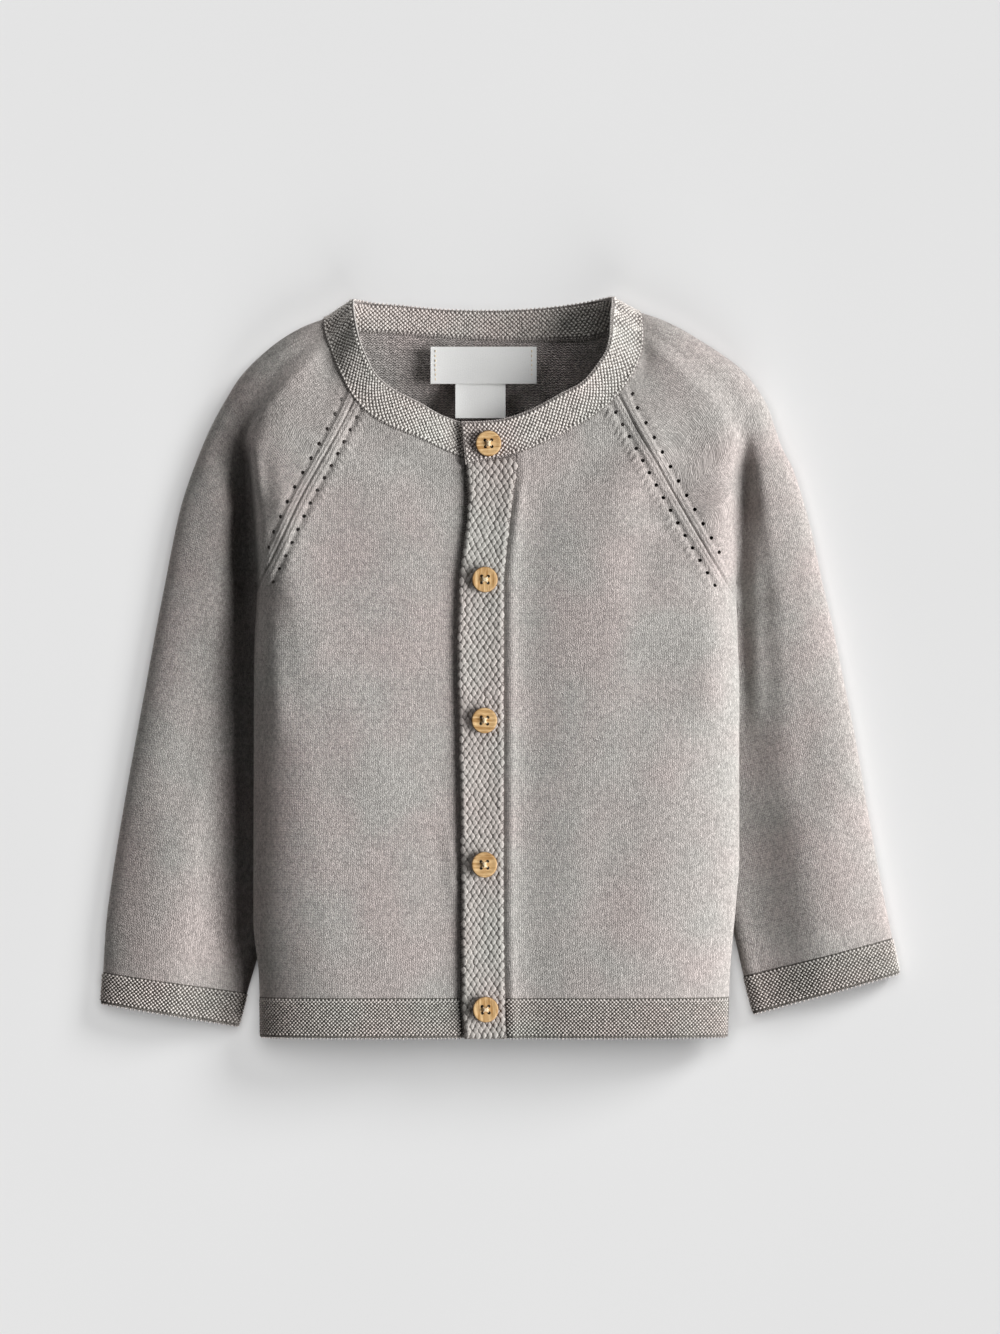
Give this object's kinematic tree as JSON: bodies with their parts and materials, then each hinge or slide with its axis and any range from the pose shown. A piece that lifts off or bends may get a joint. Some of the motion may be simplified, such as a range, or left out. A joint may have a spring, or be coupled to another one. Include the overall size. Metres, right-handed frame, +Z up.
{
  "type": "baby cardigan",
  "caption": "Knitted baby cardigan with raglan long sleeves, a round neckband and a buttoned front band, laid flat and softly plumped, face up.",
  "frame": {"origin": "middle of the bounding box, on the surface that the cardigan lies on", "axes": "+X to the wearer's left, +Y to the neck, +Z up out of the front"},
  "size_m": [0.3356, 0.3108, 0.0291],
  "materials": {
    "knit": "fine stocking-stitch knit",
    "band_knit": "moss-stitch knit",
    "wood": "satin",
    "satin": "satin tape"
  },
  "bodies": {
    "root": {"back": "knit", "front_right": "knit", "front_left": "knit", "sleeve_right": "knit", "sleeve_left": "knit", "neckband": "band_knit", "button_band": "band_knit", "buttonhole_band": "band_knit", "hem_back": "band_knit", "hem_front_right": "band_knit", "hem_front_left": "band_knit", "cuff_right": "band_knit", "cuff_left": "band_knit", "label": "satin", "size_tab": "satin", "button_1": "wood", "button_2": "wood", "button_3": "wood", "button_4": "wood", "button_5": "wood"}
  },
  "joints": []
}
